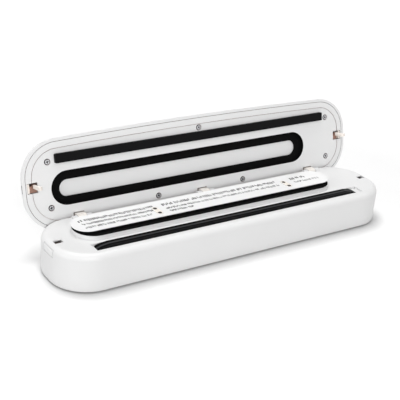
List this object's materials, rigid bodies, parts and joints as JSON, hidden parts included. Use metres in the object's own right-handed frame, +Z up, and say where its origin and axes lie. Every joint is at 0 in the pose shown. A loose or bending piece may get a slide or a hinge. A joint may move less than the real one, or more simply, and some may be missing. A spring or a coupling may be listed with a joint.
{
  "type": "vacuum sealer",
  "caption": "Long low white vacuum sealer with round ends, shown with its hinged lid open over a raised vacuum chamber and a heat strip along the front.",
  "frame": {"origin": "bottom centre of the box round the machine with its lid open, on the table under the feet", "axes": "+X along the length to the right end, +Y from the front to the hinge side, +Z up"},
  "size_m": [0.3652, 0.1029, 0.1078],
  "materials": {
    "white_plastic": "satin white moulding",
    "cream_plastic": "cream engineering plastic",
    "plate_plastic": "glossy white plate",
    "seal_rubber": "black foam rubber",
    "bar_rubber": "black silicone rubber",
    "foot_rubber": "soft black rubber",
    "hose_rubber": "translucent silicone hose",
    "heat_tape": "black non-stick tape",
    "bar_plastic": "brown insulating laminate",
    "screw_steel": "plain steel",
    "motor_steel": "zinc-plated can",
    "transformer_iron": "laminated iron core",
    "capacitor_can": "sleeved aluminium can",
    "circuit_board": "green solder mask",
    "relay_plastic": "blue relay case",
    "pump_plastic": "black moulding",
    "valve_plastic": "grey coil and frame",
    "inlet_plastic": "black moulding",
    "contact_brass": "plated contact pins",
    "light_pipe": "clear light pipe"
  },
  "bodies": {
    "base": {"base_housing": "white_plastic", "bottom_cover": "white_plastic", "rubber_feet": "foot_rubber", "cover_screws": "screw_steel", "chamber_seal": "seal_rubber", "chamber_plate": "plate_plastic", "intake_port_left": "cream_plastic", "intake_port_right": "cream_plastic", "heat_bar": "bar_plastic", "heating_wire": "screw_steel", "heat_tape": "heat_tape", "hinge_pins": "screw_steel", "pump_head": "pump_plastic", "pump_motor": "motor_steel", "pump_mount": "foot_rubber", "suction_hose": "hose_rubber", "vent_hose": "hose_rubber", "vent_valve": "valve_plastic", "vacuum_switch": "pump_plastic", "power_board": "circuit_board", "transformer": "transformer_iron", "capacitors": "capacitor_can", "relay": "relay_plastic", "power_inlet": "inlet_plastic", "inlet_contacts": "contact_brass", "lid_switch": "inlet_plastic"},
    "left_release": {"left_button": "white_plastic", "left_catch": "cream_plastic"},
    "right_release": {"right_button": "white_plastic", "right_catch": "cream_plastic"},
    "pump_rotor": {"motor_shaft": "screw_steel", "eccentric": "pump_plastic"},
    "lid": {"lid_cover": "white_plastic", "lid_liner": "white_plastic", "lid_seal": "seal_rubber", "pressure_bar": "bar_rubber", "lid_screws": "screw_steel", "left_hook": "cream_plastic", "right_hook": "cream_plastic", "hinge_lugs": "cream_plastic", "control_board": "circuit_board", "light_pipes": "light_pipe"},
    "vacuum_key": {"vacuum_button": "white_plastic"},
    "seal_key": {"seal_button": "white_plastic"}
  },
  "joints": [
    {"name": "lid_hinge", "type": "hinge", "parent": "base", "child": "lid", "pos_m": [0, 0.02014, 0.035], "axis": [1, 0, 0], "range_deg": [0, 103.3]},
    {"name": "left_release_press", "type": "slide", "parent": "base", "child": "left_release", "axis": [1, 0, 0], "range_m": [0, 0.0016], "stiffness_N_per_m": 900},
    {"name": "right_release_press", "type": "slide", "parent": "base", "child": "right_release", "axis": [-1, 0, 0], "range_m": [0, 0.0016], "stiffness_N_per_m": 900},
    {"name": "vacuum_button_press", "type": "slide", "parent": "lid", "child": "vacuum_key", "axis": [0, -0.9732, 0.23], "range_m": [0, 0.0008], "stiffness_N_per_m": 1200},
    {"name": "seal_button_press", "type": "slide", "parent": "lid", "child": "seal_key", "axis": [0, -0.9732, 0.23], "range_m": [0, 0.0008], "stiffness_N_per_m": 1200},
    {"name": "pump_spin", "type": "hinge", "parent": "base", "child": "pump_rotor", "pos_m": [-0.1194, 0.00604, 0.0165], "axis": [1, 0, 0], "continuous": true}
  ]
}
